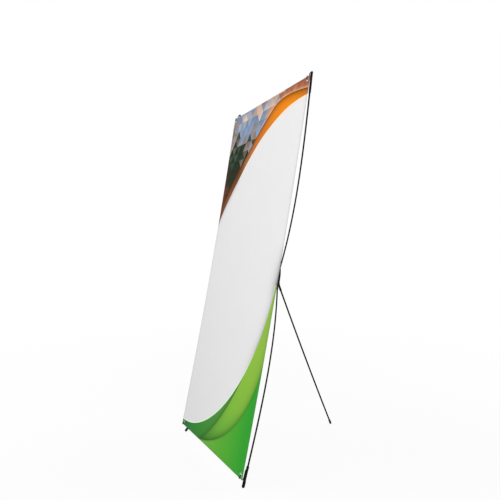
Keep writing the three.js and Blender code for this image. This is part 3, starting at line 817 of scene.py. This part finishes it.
def makeKnuckle(level, sideName, side):
    arm = arms[level]
    pointAt = armLine(arm, side)
    run = arm["tip"] - arm["pivot"]
    direction = Vector((side * run.x, 0, run.z)).normalized()
    pivot = pointAt(0)
    half, wide, ring = knuckle["thickness"] / 2, knuckle["socket"], knuckle["ring"]
    start, end, reach = knuckle["socketStart"], knuckle["socketEnd"], knuckle["holeReach"]
    front, rear = pivot.y - half, pivot.y + half
    piece = cylinder(knuckle["tongue"], pivot.x, front, rear, pivot.z, 64)
    neck = box((-wide, -half, 0), (wide, half, start + knuckle["neckOverlap"]))
    neck.data.transform(turnTo(direction, pivot))
    socket = turnedAlong(pointAt, [(start, wide - 1), (start + 1, wide - 0.1), (end - 4.6, wide),
                                   (end - 4, ring), (end - 0.8, ring), (end, ring - 0.5)])
    union(piece, neck, socket)
    cutOut(piece, rodHole(pointAt, arm["rod"], end - reach, end + reach, 4),
           cylinder(knuckle["screwHole"], pivot.x, front - reach, rear + reach, pivot.z))
    soften(piece, knuckle["rounding"])
    return settleOnArm(piece, "knuckle" + level.title(), level, sideName, "plastic")


# Hooks: the bend goes through the eyelet from behind and turns back in front of the sheet
hook = {
    "wire": 1.8, "bend": 4, "bead": 2.3, "tip": 7, "standOff": 7.2, "seatGap": 0.5, "sides": 16,
    "beadSides": 18,
}


def hookBend(x, eyeletUp, outward):
    seat = eyeletUp + outward * (eyelet["hole"] - hook["seatGap"] - hook["wire"])
    points = []
    for i in range(5):
        angle = math.pi * i / 4
        points.append(Vector((x, hook["bend"] * math.cos(angle),
                              seat + outward * hook["bend"] * (1 - math.sin(angle)))))
    points.append(Vector((x, -hook["bend"] - hook["wire"] / 2,
                          seat + outward * (hook["bend"] + hook["tip"]))))
    return points


def makeHook(points):
    wire = sweep(points, [hook["wire"]] * len(points), hook["sides"], curved=True)
    return union(wire, ball(hook["bead"], points[-1], hook["beadSides"]))


# Upper caps, each with a knob at the rod's tip; the hook's wire leaves the knob in front
cap = {
    "length": 72, "radius": 4.9, "mouth": 4.3, "groove": 0.45, "knob": 5.3, "knobSides": 32,
    "root": 0.06, "bow": 0.45, "rodDepth": 4,
}


def makeUpperCap(sideName, side):
    arm = arms["upper"]
    pointAt = armLine(arm, side)
    long = armLength(arm)
    start = long - cap["length"]
    body, knob, groove = cap["radius"], cap["knob"], cap["radius"] - cap["groove"]
    piece = turnedAlong(pointAt, [
        (start, cap["mouth"] - 0.2), (start + 0.8, cap["mouth"]), (start + 5, body - 0.1), (start + 7, body),
        (start + 8, groove), (start + 9.4, groove), (start + 10.4, body), (long - 38, body),
        (long - 20, body - 0.1), (long, body - 0.2)])
    tip = pointAt(long)
    x, eyeletUp = corners["Upper" + sideName]
    bend = hookBend(x, eyeletUp, 1)
    drop = tip.z - bend[0].z
    points = [tip, Vector((x, tip.y - knob, tip.z - drop * cap["root"])),
              Vector((x, tip.y - 2 * knob + hook["wire"] / 2, tip.z - drop * cap["bow"]))] + bend
    union(piece, ball(knob, tip, cap["knobSides"]), makeHook(points))
    cutOut(piece, rodHole(pointAt, arm["rod"], start - 5, start + cap["rodDepth"], 3))
    return settleOnArm(piece, "hookCapUpper", "upper", sideName, "plastic", smooth=40)


# Lower sleeves: the hook's wire runs in front of the sleeve and rises to the eyelet
sleeve = {
    "length": 70, "radius": 4.9, "collar": 5.7, "collarLength": 8, "groove": 0.5, "footEnd": 4.3,
    "footLength": 20, "straight": 0.6, "riseBehind": 12.8, "riseDrop": 14.4, "entryBehind": 6,
    "entryDrop": 9.6, "rodDepth": 4,
}


def makeLowerSleeve(sideName, side):
    arm = arms["lower"]
    pointAt = armLine(arm, side)
    long = armLength(arm)
    start, end = long - sleeve["length"], long - sleeve["footEnd"]
    body, collar, tall = sleeve["radius"], sleeve["collar"], sleeve["collarLength"]
    groove = collar - sleeve["groove"]
    piece = turnedAlong(pointAt, [
        (start, collar - 0.9), (start + 0.9, collar), (start + 3.6, collar), (start + 4.1, groove),
        (start + 4.9, groove), (start + 5.4, collar), (start + tall - 0.9, collar), (start + tall, body),
        (end - 20, body), (end - 0.6, body), (end, body - 0.6)])
    x, eyeletUp = corners["Lower" + sideName]
    bend = hookBend(x, eyeletUp, -1)
    wire, off = hook["wire"], hook["standOff"]
    bottom = long - sleeve["footLength"] - wire - off / 2

    def inFront(distance, offset):
        return pointAt(distance) - Vector((0, offset, 0))

    points = [pointAt(start + tall / 2), inFront(start + tall + off, off),
              inFront(start + (bottom - start) * sleeve["straight"], off), inFront(bottom, off + wire / 2),
              Vector((x, sleeve["riseBehind"], bend[0].z - sleeve["riseDrop"])),
              Vector((x, sleeve["entryBehind"], bend[0].z - sleeve["entryDrop"]))] + bend
    union(piece, makeHook(points))
    cutOut(piece, rodHole(pointAt, arm["rod"], start - 5, start + sleeve["rodDepth"], 3))
    return settleOnArm(piece, "hookSleeveLower", "lower", sideName, "plastic", smooth=40)


# Rubber boots, ribbed, cut flat where they stand on the floor
boot = {
    "footRadius": 6.1, "legRadius": 5.4, "length": 20, "wall": 4, "ribs": 4, "firstRib": 1.8, "pitch": 3.0,
    "groove": 0.4, "play": 0.1, "steps": 56,
}


def cutAtFloor(piece):
    focus(piece)
    bpy.ops.object.mode_set(mode="EDIT")
    bpy.ops.mesh.select_all(action="SELECT")
    bpy.ops.mesh.bisect(plane_co=(0, 0, 0), plane_no=(0, 0, 1), use_fill=True, clear_inner=True)
    leaveEdit()
    return tidyMesh(piece)


def makeBoot(radius, rod, tip, direction):
    long, bore, groove = boot["length"], rod + boot["play"], radius - boot["groove"]
    profile = [(0.0, radius)] + arcPoints((0, 0), radius, 84, 0, 12)
    for i in range(boot["ribs"]):
        top = -boot["firstRib"] - i * boot["pitch"]
        profile += [(radius, top), (groove, top - 0.45), (groove, top - 0.95), (radius, top - 1.4)]
    profile += [(radius, -long + 2.4), (radius - 0.3, -long + 1.8), (radius - 0.1, -long + 1.2),
                (radius - 0.2, -long + 0.3), (radius - 0.6, -long), (bore + 0.2, -long),
                (bore, -long + 0.3), (bore, -boot["wall"]), (0.0, -boot["wall"])]
    piece = lathe(profile, boot["steps"])
    piece.data.transform(turnTo(direction, tip))
    return cutAtFloor(piece)


def makeFoot(sideName, side):
    arm = arms["lower"]
    pointAt = armLine(arm, side)
    long = armLength(arm)
    tip = leaning @ pointAt(long)
    direction = (tip - leaning @ pointAt(long - boot["length"])).normalized()
    piece = makeBoot(boot["footRadius"], sleeve["radius"], tip, direction)
    return settleOnArm(piece, "foot", "lower", sideName, "rubber", upright=True)


for sideName, side in stand["sides"].items():
    for level in arms:
        makeRod(level, sideName, side)
        makeKnuckle(level, sideName, side)
    makeUpperCap(sideName, side)
    makeLowerSleeve(sideName, side)
    makeFoot(sideName, side)
print("arms made with their knuckles, hooks and feet")


# Hub: two covers round a middle plate, with pan-head screws
hub = {
    "top": 819.5, "bottom": 771.5, "topHalf": 20, "bottomHalf": 17.5, "corner": 5, "gap": 0.3,
    "plateFront": 213.0, "plateRear": 214.6, "coverFront": 203.15, "coverRear": 204.95,
    "coverBottom": 798.5, "backFront": 222.65, "backRear": 224.45, "hole": 2.3, "boss": 3.9,
    "backTopHalf": 16.5, "backBottomHalf": 18.3, "peakHalf": 9.5, "peakRise": 34,
    "frontScrewUp": 814.5, "rearScrewUp": 804.5, "bossBottom": 799.5, "bossHalf": 16, "postDrop": 6,
    "postTip": 0.36, "earRadius": 5.5, "earInner": 3.4, "earThickness": 2.1, "recess": 0.45, "rim": 1.7,
    "ribs": (807.5, 811, 814.5), "ribHalf": 13, "ribThickness": 1.2, "coverRounding": 0.3,
    "plateRounding": 0.25, "plateBore": (195, 225),
}
legPivot = {"behind": 230, "up": 782, "hole": 2.0}


def roundedPlate(front, rear, bottom, top, bottomHalf, topHalf, peakHalf=0, peakRise=0):
    piece = box((-topHalf, front, bottom), (topHalf, rear, top))
    middle = (bottom + top) / 2
    choose(piece, "VERT", lambda place: place.z < middle)
    bpy.ops.transform.resize(value=(bottomHalf / topHalf, 1, 1), center_override=(0, front, bottom))
    leaveEdit()
    if peakRise:
        choose(piece, "FACE", lambda place, normal: normal.z > 0.9)
        bpy.ops.mesh.extrude_region_move(TRANSFORM_OT_translate={"value": (0, 0, peakRise)})
        bpy.ops.transform.resize(value=(peakHalf / topHalf, 1, 1), center_override=(0, front, top))
        leaveEdit()
    choose(piece, "EDGE", lambda place, way: abs(way.y) > 0.9)
    bpy.ops.mesh.bevel(offset=hub["corner"], offset_type="OFFSET", segments=8, affect="EDGES")
    leaveEdit()
    return piece


def recessPanel(piece, facing):
    choose(piece, "FACE", lambda place, normal: normal.y * facing > 0.9)
    bpy.ops.mesh.inset(thickness=hub["rim"], depth=0)
    bpy.ops.mesh.extrude_region_move(TRANSFORM_OT_translate={"value": (0, -facing * hub["recess"], 0)})
    leaveEdit()


def screwSeats(middleUp, level):
    # the places across and up of a cover's three screws
    pivot = arms[level]["pivot"]
    return [(0, middleUp)] + [(side * pivot.x, pivot.z) for side in stand["sides"].values()]


def screwHole(x, front, rear, up):
    return cylinder(hub["hole"], x, front - 5, rear + 5, up)


def makeFrontCover():
    front, rear = hub["coverFront"], hub["coverRear"]
    piece = roundedPlate(front, rear, hub["coverBottom"], hub["top"], hub["topHalf"], hub["topHalf"])
    recessPanel(piece, -1)
    seats = screwSeats(hub["frontScrewUp"], "upper")
    for x, up in seats:
        union(piece, cylinder(hub["boss"], x, front + 0.15, rear - 0.1, up))
    for x, up in seats:
        cutOut(piece, screwHole(x, front, rear, up))
    soften(piece, hub["coverRounding"])
    return settle(piece, "hubFrontCover", "hub", "plastic")


def makeRearCover():
    front, rear = hub["backFront"], hub["backRear"]
    piece = roundedPlate(front, rear, hub["bottom"], hub["top"], hub["backBottomHalf"], hub["backTopHalf"],
                         hub["peakHalf"], hub["peakRise"])
    recessPanel(piece, 1)
    seats = screwSeats(hub["rearScrewUp"], "lower")
    for x, up in seats:
        union(piece, cylinder(hub["boss"], x, front + 0.1, rear - 0.15, up))
    halfWide, halfThick = hub["ribHalf"], hub["ribThickness"] / 2
    for up in hub["ribs"]:
        union(piece, box((-halfWide, front + 0.1, up - halfThick), (halfWide, rear - 0.1, up + halfThick)))
    behind, pivotUp, radius = legPivot["behind"], legPivot["up"], hub["earRadius"]
    for side in stand["sides"].values():
        low, high = sorted((side * hub["earInner"], side * (hub["earInner"] + hub["earThickness"])))
        ear = crossBar(radius, low, high, 56, behind, pivotUp)
        root = box((low, rear - 1, pivotUp - radius), (high, behind, pivotUp + radius))
        union(piece, union(ear, root))
    cutOut(piece, crossBar(legPivot["hole"], -15, 15, 40, behind, pivotUp))
    for x, up in seats:
        cutOut(piece, screwHole(x, front, rear, up))
    soften(piece, hub["coverRounding"])
    return settle(piece, "hubRearCover", "hub", "plastic")


def makeHubPlate():
    # the wedge stops the upper knuckles, the posts stop the lower ones
    front, rear, gap = hub["plateFront"], hub["plateRear"], hub["gap"]
    roomFront, roomRear = hub["coverRear"], hub["backFront"]
    piece = roundedPlate(front, rear, hub["bottom"], hub["top"], hub["bottomHalf"], hub["topHalf"])
    upper, lower = arms["upper"]["pivot"], arms["lower"]["pivot"]
    upperRun, lowerRun = arms["upper"]["tip"] - upper, arms["lower"]["tip"] - lower
    upperSplay = math.atan2(upperRun.x, upperRun.z)
    lowerSplay = math.atan2(lowerRun.x, -lowerRun.z)
    wedgeFoot = upper.x - knuckle["tongue"] / math.cos(upperSplay) - gap
    wedgeTop = wedgeFoot + math.tan(upperSplay) * (hub["top"] - upper.z)
    wedge = box((-wedgeFoot, roomFront + gap, upper.z), (wedgeFoot, front + gap, hub["top"] - 0.1))
    choose(wedge, "VERT", lambda place: place.z > upper.z + 1)
    bpy.ops.transform.resize(value=(wedgeTop / wedgeFoot, 1, 1), center_override=(0, front, hub["top"]))
    leaveEdit()
    boss = box((-hub["bossHalf"], rear - gap, hub["bossBottom"]),
               (hub["bossHalf"], roomRear - gap, hub["top"] - gap))
    union(piece, wedge, boss)
    inner = lower.x + knuckle["tongue"] / math.cos(lowerSplay) + gap
    drift, drop = math.tan(lowerSplay) * hub["postDrop"], hub["postDrop"]
    for side in stand["sides"].values():
        low, high = sorted((side * inner, side * (inner + drift + hub["postTip"])))
        post = box((low, rear - gap, lower.z - drop), (high, roomRear - gap, lower.z + drop))
        choose(post, "VERT", lambda place: place.z < lower.z and abs(place.x) < inner + 0.1)
        bpy.ops.transform.translate(value=(side * drift, 0, 0))
        leaveEdit()
        union(piece, post)
        for pivot in (upper, lower):
            cutOut(piece, cylinder(hub["hole"], side * pivot.x, *hub["plateBore"], pivot.z))
    cutOut(piece, cylinder(hub["hole"], 0, *hub["plateBore"], hub["frontScrewUp"]))
    soften(piece, hub["plateRounding"])
    return settle(piece, "hubPlate", "hub", "plastic")


# Screws. The pan's stops are shares of the head's radius and rise; each cross stands at its own angle.
screw = {
    "shank": 2.0, "head": 3.0, "rise": 1.8, "seat": 0.05, "recess": 1.0,
    "pan": ((1, 0.35), (0.93, 0.62), (0.76, 0.84), (0.5, 0.96)), "slot": (0.32, 1.7),
    "slotFoot": (0.7, 0.45), "turn": 18, "turnAcross": 5, "upperLength": 17, "coverLength": 9,
}


def makeScrew(name, x, seat, up, long, facing):
    # a pan head with a cross recess: facing -1 has its head in front, 1 behind
    head, foot, rise, shank = screw["head"], screw["seat"], screw["rise"], screw["shank"]
    top = foot + rise
    profile = [(0.0, -long), (shank - 0.4, -long), (shank, -long + 0.5), (shank, foot), (head - 0.1, foot),
               (head, foot + 0.12)]
    profile += [(head * wide, foot + rise * high) for wide, high in screw["pan"]] + [(0.0, top)]
    piece = lathe(profile)
    across, along = screw["slot"]
    for turn in (0, math.pi / 2):
        slot = box((-across, -along, top - screw["recess"]), (across, along, top + 1))
        choose(slot, "VERT", lambda place: place.z < top)
        bpy.ops.transform.resize(value=(*screw["slotFoot"], 1), center_override=(0, 0, 0))
        leaveEdit()
        angle = turn + math.radians(screw["turn"] + x * screw["turnAcross"])
        slot.data.transform(Matrix.Rotation(angle, 4, "Z"))
        cutOut(piece, slot)
    piece.data.transform(turnTo(Vector((0, facing, 0)), Vector((x, seat, up))))
    return settle(piece, name, "hub", "steel")


makeFrontCover()
makeRearCover()
makeHubPlate()
makeScrew("coverScrewFront", 0, hub["coverFront"], hub["frontScrewUp"], screw["coverLength"], -1)
makeScrew("coverScrewRear", 0, hub["backRear"], hub["rearScrewUp"], screw["coverLength"], 1)
lowerLength = hub["backRear"] - hub["plateFront"] - hub["gap"]
for sideName, side in stand["sides"].items():
    upper, lower = arms["upper"]["pivot"], arms["lower"]["pivot"]
    makeScrew("pivotScrewUpper" + sideName, side * upper.x, hub["coverFront"], upper.z,
              screw["upperLength"], -1)
    makeScrew("pivotScrewLower" + sideName, side * lower.x, hub["backRear"], lower.z, lowerLength, 1)
print("hub made")


# Rear leg, made along Z from its pivot
leg = {
    "tongue": 5, "thickness": 6.2, "socket": 5.2, "socketMouth": 3.6, "socketStart": 8, "socketEnd": 40,
    "ring": 5.6, "neckOverlap": 4, "neckTrim": 0.15, "holeReach": 5, "rounding": 0.3, "rod": 3.9,
    "rodShort": 4.3, "footY": 362.5, "footUp": 4.3, "bow": 3.7, "bolt": 1.7, "head": 3,
    "headThickness": 1.8, "boltGap": 0.1, "boltPast": 0.6, "key": 1.25, "keyDepth": 1.2, "nutPlay": 0.08,
}
legTop = leaning @ Vector((0, legPivot["behind"], legPivot["up"]))
legEnd = Vector((0, leg["footY"], leg["footUp"]))
legLong = (legEnd - legTop).length
legPlace = turnTo((legEnd - legTop).normalized(), legTop)


def legPoint(distance):
    # the leg bows a little to the front
    share = distance / legLong
    return Vector((0, 4 * leg["bow"] * share * (1 - share), distance))


def makeLegKnuckle():
    half, deep = leg["thickness"] / 2, leg["tongue"] - leg["neckTrim"]
    wide, ring = leg["socket"], leg["ring"]
    start, end, reach = leg["socketStart"], leg["socketEnd"], leg["holeReach"]
    piece = crossBar(leg["tongue"], -half, half, 56)
    neck = box((-half, -deep, 0), (half, deep, start + leg["neckOverlap"]))
    socket = turnedAlong(legPoint, [(start, leg["socketMouth"]), (start + 1.4, wide), (end - 5, wide),
                                    (end - 4.4, ring), (end - 0.8, ring), (end, wide - 0.2)])
    union(piece, neck, socket)
    cutOut(piece, rodHole(legPoint, leg["rod"], end - reach, end + reach, 1),
           crossBar(legPivot["hole"], -10, 10))
    soften(piece, leg["rounding"])
    piece.data.transform(legPlace)
    return settle(piece, "legKnuckle", "rear_leg", "plastic", upright=True)


def makeLegRod():
    piece = rodAlong(legPoint, leg["rod"], legLong - leg["rodShort"], rodLook["legSteps"])
    piece.data.transform(legPlace)
    return settle(piece, "legRod", "rear_leg", "rod", upright=True)


def makeLegFoot():
    way = legPlace @ legPoint(legLong) - legPlace @ legPoint(legLong - boot["length"])
    piece = makeBoot(boot["legRadius"], leg["rod"], legEnd, way.normalized())
    return settle(piece, "legFoot", "rear_leg", "rubber", upright=True)


# The leg's bolt and nut, made along Z and turned across the ears
earOuter = hub["earInner"] + hub["earThickness"]
acrossEars = (Matrix.Translation((0, legPivot["behind"], legPivot["up"]))
              @ Matrix.Rotation(math.pi / 2, 4, "Y"))


def makeLegBolt():
    bolt, head, thick = leg["bolt"], leg["head"], leg["headThickness"]
    left = -earOuter - leg["boltPast"] - thick
    seat = earOuter + leg["boltGap"]
    profile = [(0.0, left), (bolt - 0.3, left), (bolt, left + 0.4), (bolt, seat), (head - 0.1, seat),
               (head, seat + 0.15), (head, seat + thick * 0.45), (head * 0.9, seat + thick * 0.75),
               (head * 0.6, seat + thick * 0.95), (0.0, seat + thick)]
    piece = lathe(profile)
    cutOut(piece, bar(leg["key"], 2 * leg["keyDepth"], (0, 0, seat + thick), sides=6))
    piece.data.transform(acrossEars)
    return settle(piece, "legBolt", "hub", "steel")


def makeLegNut():
    # a hexagon with turned corners
    head, thick = leg["head"], leg["headThickness"]
    near = -earOuter - leg["boltGap"]
    far = near - thick
    piece = bar(head, thick, (0, 0, (near + far) / 2), sides=6)
    rounding = lathe([(0.0, far - 0.01), (head * 0.84, far - 0.01), (head * 1.02, far + 0.35),
                      (head * 1.02, near - 0.3), (head * 0.92, near + 0.01), (0.0, near + 0.01)])
    combine(piece, "INTERSECT", rounding)
    cutOut(piece, bar(leg["bolt"] + leg["nutPlay"], 10, (0, 0, near), sides=32))
    piece.data.transform(acrossEars)
    return settle(piece, "legNut", "hub", "steel")


makeLegKnuckle()
makeLegRod()
makeLegFoot()
makeLegBolt()
makeLegNut()
print("leg made")


# Camera at the photograph's angle
camera = {
    "place": (1.582, -1.1225, 0.898), "azimuth": 61.27, "elevation": 3.46,
    "focal": 403.6, "axisX": 228.8, "axisY": 279.3, "image": 500, "sensor": 36,
}


def makeCamera():
    deselectAll()
    bpy.ops.object.camera_add(location=camera["place"])
    view = bpy.context.object
    azimuth, elevation = math.radians(camera["azimuth"]), math.radians(camera["elevation"])
    back = Vector((math.sin(azimuth) * math.cos(elevation), -math.cos(azimuth) * math.cos(elevation),
                   math.sin(elevation)))
    view.rotation_euler = (-back).to_track_quat("-Z", "Y").to_euler()
    view.data.sensor_width = camera["sensor"]
    view.data.lens = camera["sensor"] * camera["focal"] / camera["image"]
    view.data.shift_x = 0.5 - camera["axisX"] / camera["image"]
    view.data.shift_y = camera["axisY"] / camera["image"] - 0.5
    view.data.clip_end = 200
    bpy.context.scene.camera = view


# Stage: a white floor and sky with soft lamps
stage = {"floor": 120, "floorTone": 0.86, "nearWhite": 0.88, "whiteFrom": 0.7, "whiteOver": 2.6, "sky": 0.62}
lamps = [
    {"name": "keyLamp", "place": (-1.6, -3.4, 3.1), "aim": (0, -0.1, 0.8), "size": 2.6, "power": 62},
    {"name": "fillLamp", "place": (3.2, -1.8, 2.2), "aim": (0, -0.1, 0.8), "size": 2.4, "power": 34},
    {"name": "backLamp", "place": (0.8, 3.2, 2.8), "aim": (0, 0.1, 0.8), "size": 2.4, "power": 40},
]


def makeStage():
    deselectAll()
    bpy.ops.mesh.primitive_plane_add(size=stage["floor"], location=(0, 0, 0))
    floor = bpy.context.object
    floor.name = "floor"
    tree = newTree("floorWhite")
    tone = stage["floorTone"]
    matt = tree.add("ShaderNodeBsdfDiffuse", {"Color": (tone, tone, tone, 1)})
    white = tree.add("ShaderNodeEmission", {"Color": (1, 1, 1, 1), "Strength": 1.0})
    seen = tree.seen("Is Camera Ray", "Is Glossy Ray")
    x, y = tree.split(tree.place())[:2]
    away = (((x * x + y * y) ** 0.5 - stage["whiteFrom"]) / stage["whiteOver"]).clamped()
    whitening = away * (1.0 - stage["nearWhite"]) + stage["nearWhite"]
    mix = tree.add("ShaderNodeMixShader", {0: seen * whitening, 1: matt, 2: white})
    tree.add("ShaderNodeOutputMaterial", {"Surface": mix})
    floor.data.materials.append(tree.owner)
    world = Tree(bpy.data.worlds.new("sky"))
    seen = world.seen("Is Camera Ray", "Is Glossy Ray", "Is Transmission Ray")
    level = seen * (1.0 - stage["sky"]) + stage["sky"]
    sky = world.add("ShaderNodeBackground", {"Color": (1, 1, 1, 1), "Strength": level})
    world.add("ShaderNodeOutputWorld", {"Surface": sky})
    bpy.context.scene.world = world.owner


def makeLamp(look):
    deselectAll()
    bpy.ops.object.light_add(type="AREA", location=look["place"])
    lamp = bpy.context.object
    lamp.name = look["name"]
    lamp.data.shape = "SQUARE"
    lamp.data.size = look["size"]
    lamp.data.energy = look["power"]
    aim = Vector(look["aim"]) - Vector(look["place"])
    lamp.rotation_euler = aim.to_track_quat("-Z", "Y").to_euler()


makeCamera()
makeStage()
for look in lamps:
    makeLamp(look)
bpy.context.scene.view_settings.view_transform = "Standard"
print("camera, stage and lamps made")
